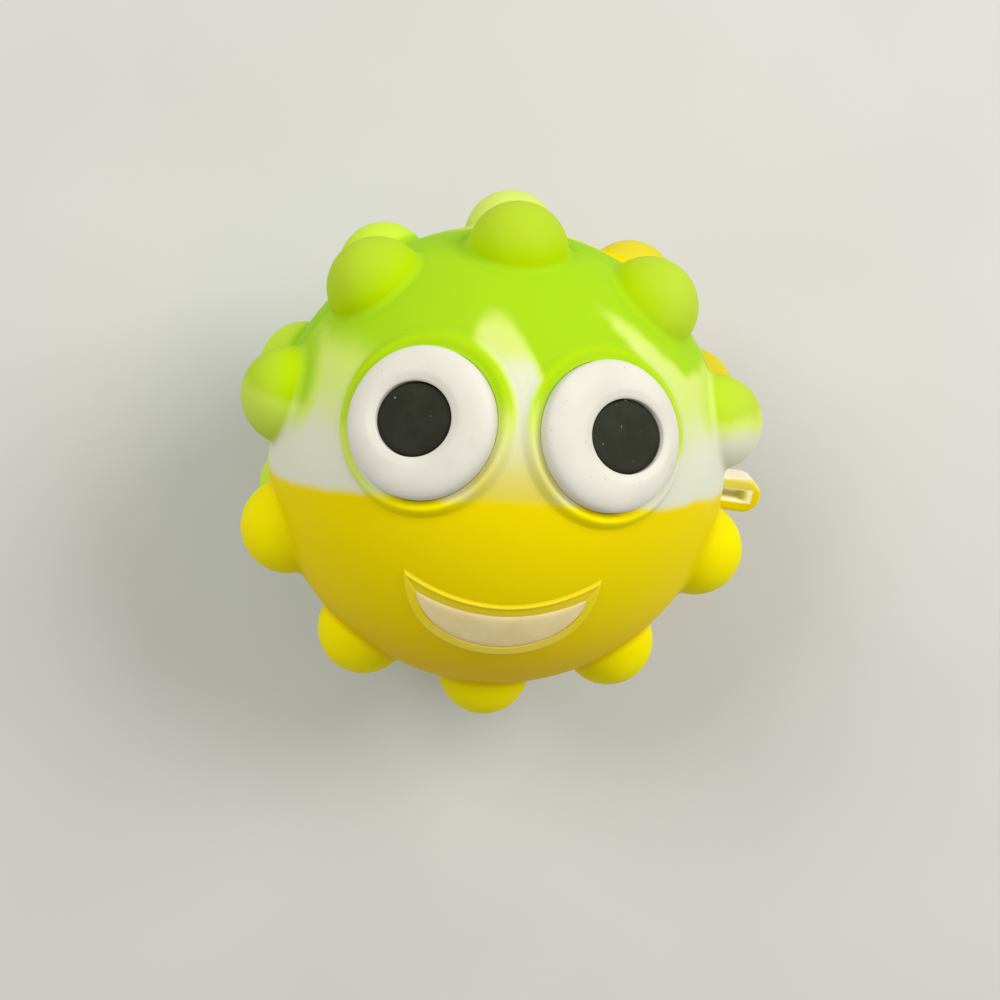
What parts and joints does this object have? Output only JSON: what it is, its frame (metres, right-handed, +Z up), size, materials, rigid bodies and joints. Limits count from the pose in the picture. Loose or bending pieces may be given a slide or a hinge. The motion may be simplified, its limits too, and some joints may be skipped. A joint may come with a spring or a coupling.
{
  "type": "pop-bubble squeeze ball",
  "caption": "Hollow rubber squeeze ball in two moulded halves with a smiling googly-eyed face, pop-in bubbles all round and a small hanging loop.",
  "frame": {"origin": "on the surface the ball lies on, under the middle of its bounding box", "axes": "+Z up, +Y towards the forehead, +X towards the hanging loop; the face looks up and leans towards -Y, as the ball lies on three of its back bubbles"},
  "size_m": [0.0684, 0.0694, 0.0646],
  "materials": {
    "shell_front": "satin silicone, green above, pale in the middle, yellow below",
    "shell_back": "satin silicone, green on the left, pale in the middle, yellow on the right",
    "bubble_green": "satin silicone, yellow-green",
    "bubble_yellow": "satin silicone, warm yellow",
    "bubble_pale": "satin silicone, pale green-white",
    "eye_white": "satin rubber, off-white",
    "pupil_black": "matt rubber, black",
    "teeth_cream": "matt rubber, cream"
  },
  "bodies": {
    "ball": {"front_shell": "shell_front", "back_shell": "shell_back", "hang_loop": "shell_front", "eye_white_left": "eye_white", "eye_white_right": "eye_white", "pupil_left": "pupil_black", "pupil_right": "pupil_black", "teeth": "teeth_cream"},
    "front_bubble_01_body": {"front_bubble_01": "bubble_green"},
    "front_bubble_02_body": {"front_bubble_02": "bubble_green"},
    "front_bubble_03_body": {"front_bubble_03": "bubble_green"},
    "front_bubble_04_body": {"front_bubble_04": "bubble_yellow"},
    "front_bubble_05_body": {"front_bubble_05": "bubble_yellow"},
    "front_bubble_06_body": {"front_bubble_06": "bubble_yellow"},
    "front_bubble_07_body": {"front_bubble_07": "bubble_yellow"},
    "front_bubble_08_body": {"front_bubble_08": "bubble_yellow"},
    "front_bubble_09_body": {"front_bubble_09": "bubble_green"},
    "front_bubble_10_body": {"front_bubble_10": "bubble_green"},
    "rim_bubble_01_body": {"rim_bubble_01": "bubble_pale"},
    "rim_bubble_02_body": {"rim_bubble_02": "bubble_yellow"},
    "rim_bubble_03_body": {"rim_bubble_03": "bubble_yellow"},
    "rim_bubble_04_body": {"rim_bubble_04": "bubble_yellow"},
    "rim_bubble_05_body": {"rim_bubble_05": "bubble_yellow"},
    "rim_bubble_06_body": {"rim_bubble_06": "bubble_pale"},
    "rim_bubble_07_body": {"rim_bubble_07": "bubble_green"},
    "rim_bubble_08_body": {"rim_bubble_08": "bubble_green"},
    "rim_bubble_09_body": {"rim_bubble_09": "bubble_green"},
    "rim_bubble_10_body": {"rim_bubble_10": "bubble_green"},
    "back_bubble_01_body": {"back_bubble_01": "bubble_pale"},
    "back_bubble_02_body": {"back_bubble_02": "bubble_yellow"},
    "back_bubble_03_body": {"back_bubble_03": "bubble_yellow"},
    "back_bubble_04_body": {"back_bubble_04": "bubble_green"},
    "back_bubble_05_body": {"back_bubble_05": "bubble_green"},
    "pole_bubble_body": {"pole_bubble": "bubble_pale"}
  },
  "joints": [
    {"name": "front_bubble_01_pop", "type": "slide", "parent": "ball", "child": "front_bubble_01_body", "axis": [0, -0.7868, -0.6173], "range_m": [0, 0.0085]},
    {"name": "front_bubble_02_pop", "type": "slide", "parent": "ball", "child": "front_bubble_02_body", "axis": [-0.5664, -0.6169, -0.5465], "range_m": [0, 0.0085]},
    {"name": "front_bubble_03_pop", "type": "slide", "parent": "ball", "child": "front_bubble_03_body", "axis": [-0.9165, -0.1721, -0.3612], "range_m": [0, 0.0085]},
    {"name": "front_bubble_04_pop", "type": "slide", "parent": "ball", "child": "front_bubble_04_body", "axis": [-0.9165, 0.3776, -0.1322], "range_m": [0, 0.0085]},
    {"name": "front_bubble_05_pop", "type": "slide", "parent": "ball", "child": "front_bubble_05_body", "axis": [-0.5664, 0.8224, 0.0531], "range_m": [0, 0.0085]},
    {"name": "front_bubble_06_pop", "type": "slide", "parent": "ball", "child": "front_bubble_06_body", "axis": [0, 0.9923, 0.1239], "range_m": [0, 0.0085]},
    {"name": "front_bubble_07_pop", "type": "slide", "parent": "ball", "child": "front_bubble_07_body", "axis": [0.5664, 0.8224, 0.0531], "range_m": [0, 0.0085]},
    {"name": "front_bubble_08_pop", "type": "slide", "parent": "ball", "child": "front_bubble_08_body", "axis": [0.9165, 0.3776, -0.1322], "range_m": [0, 0.0085]},
    {"name": "front_bubble_09_pop", "type": "slide", "parent": "ball", "child": "front_bubble_09_body", "axis": [0.9165, -0.1721, -0.3612], "range_m": [0, 0.0085]},
    {"name": "front_bubble_10_pop", "type": "slide", "parent": "ball", "child": "front_bubble_10_body", "axis": [0.5664, -0.6169, -0.5465], "range_m": [0, 0.0085]},
    {"name": "rim_bubble_01_pop", "type": "slide", "parent": "ball", "child": "rim_bubble_01_body", "axis": [0, -0.9923, -0.1239], "range_m": [0, 0.0085]},
    {"name": "rim_bubble_02_pop", "type": "slide", "parent": "ball", "child": "rim_bubble_02_body", "axis": [-0.5664, -0.8224, -0.0531], "range_m": [0, 0.0085]},
    {"name": "rim_bubble_03_pop", "type": "slide", "parent": "ball", "child": "rim_bubble_03_body", "axis": [-0.9165, -0.3776, 0.1322], "range_m": [0, 0.0085]},
    {"name": "rim_bubble_04_pop", "type": "slide", "parent": "ball", "child": "rim_bubble_04_body", "axis": [-0.9165, 0.1721, 0.3612], "range_m": [0, 0.0085]},
    {"name": "rim_bubble_05_pop", "type": "slide", "parent": "ball", "child": "rim_bubble_05_body", "axis": [-0.5664, 0.6169, 0.5465], "range_m": [0, 0.0085]},
    {"name": "rim_bubble_06_pop", "type": "slide", "parent": "ball", "child": "rim_bubble_06_body", "axis": [0, 0.7868, 0.6173], "range_m": [0, 0.0085]},
    {"name": "rim_bubble_07_pop", "type": "slide", "parent": "ball", "child": "rim_bubble_07_body", "axis": [0.5664, 0.6169, 0.5465], "range_m": [0, 0.0085]},
    {"name": "rim_bubble_08_pop", "type": "slide", "parent": "ball", "child": "rim_bubble_08_body", "axis": [0.9165, 0.1721, 0.3612], "range_m": [0, 0.0085]},
    {"name": "rim_bubble_09_pop", "type": "slide", "parent": "ball", "child": "rim_bubble_09_body", "axis": [0.9165, -0.3776, 0.1322], "range_m": [0, 0.0085]},
    {"name": "rim_bubble_10_pop", "type": "slide", "parent": "ball", "child": "rim_bubble_10_body", "axis": [0.5664, -0.8224, -0.0531], "range_m": [0, 0.0085]},
    {"name": "back_bubble_01_pop", "type": "slide", "parent": "ball", "child": "back_bubble_01_body", "axis": [0, -0.8649, 0.502], "range_m": [0, 0.0085]},
    {"name": "back_bubble_02_pop", "type": "slide", "parent": "ball", "child": "back_bubble_02_body", "axis": [-0.5757, -0.4788, 0.6629], "range_m": [0, 0.0085]},
    {"name": "back_bubble_03_pop", "type": "slide", "parent": "ball", "child": "back_bubble_03_body", "axis": [-0.3558, 0.1459, 0.9231], "range_m": [0, 0.0085]},
    {"name": "back_bubble_04_pop", "type": "slide", "parent": "ball", "child": "back_bubble_04_body", "axis": [0.3558, 0.1459, 0.9231], "range_m": [0, 0.0085]},
    {"name": "back_bubble_05_pop", "type": "slide", "parent": "ball", "child": "back_bubble_05_body", "axis": [0.5757, -0.4788, 0.6629], "range_m": [0, 0.0085]},
    {"name": "pole_bubble_pop", "type": "slide", "parent": "ball", "child": "pole_bubble_body", "axis": [0, -0.3846, 0.9231], "range_m": [0, 0.0085]}
  ]
}
